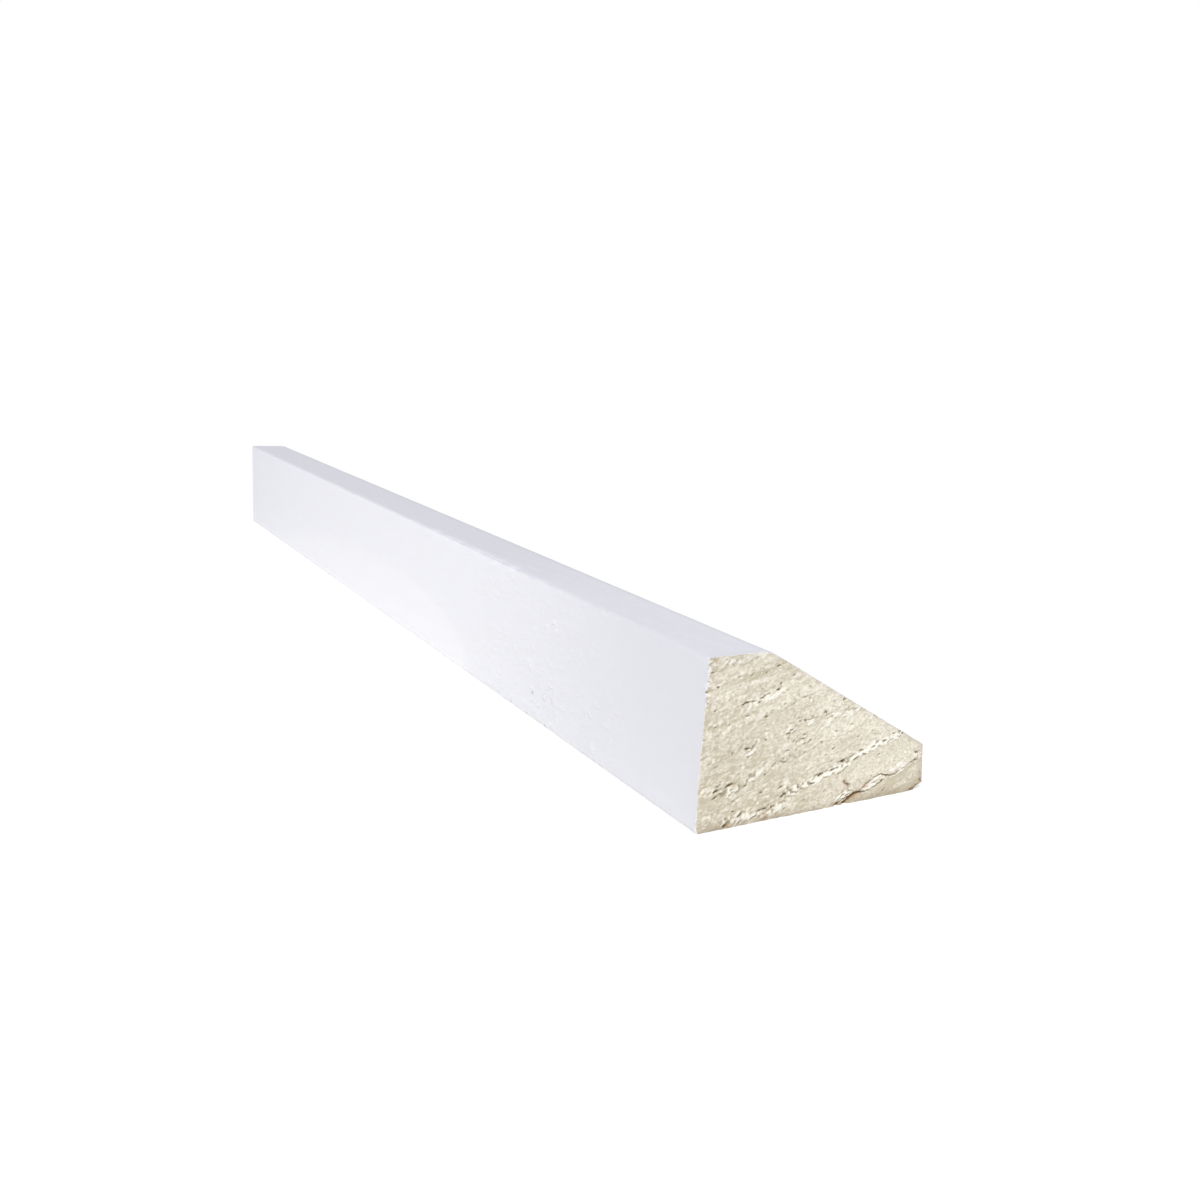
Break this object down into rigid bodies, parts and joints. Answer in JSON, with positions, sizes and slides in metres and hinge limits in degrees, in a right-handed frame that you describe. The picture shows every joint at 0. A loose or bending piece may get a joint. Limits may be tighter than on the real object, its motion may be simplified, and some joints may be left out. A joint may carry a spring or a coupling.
{
  "type": "shoe moulding",
  "caption": "Short length of primed wooden shoe moulding, square at the heel, with a flat toe, a straight bevel and a thin top edge, sawn square at both ends.",
  "frame": {"origin": "middle of the underside, which is the wide face that goes against the wall", "axes": "+Y along the length, away from the sawn end that the picture shows; +X from the narrow floor face across to the thin top edge; +Z from the wall face up to the toe face"},
  "size_m": [0.019, 0.115, 0.0112],
  "materials": {
    "white_primer": "satin"
  },
  "bodies": {
    "root": {"shoe_moulding": "white_primer"}
  },
  "joints": []
}
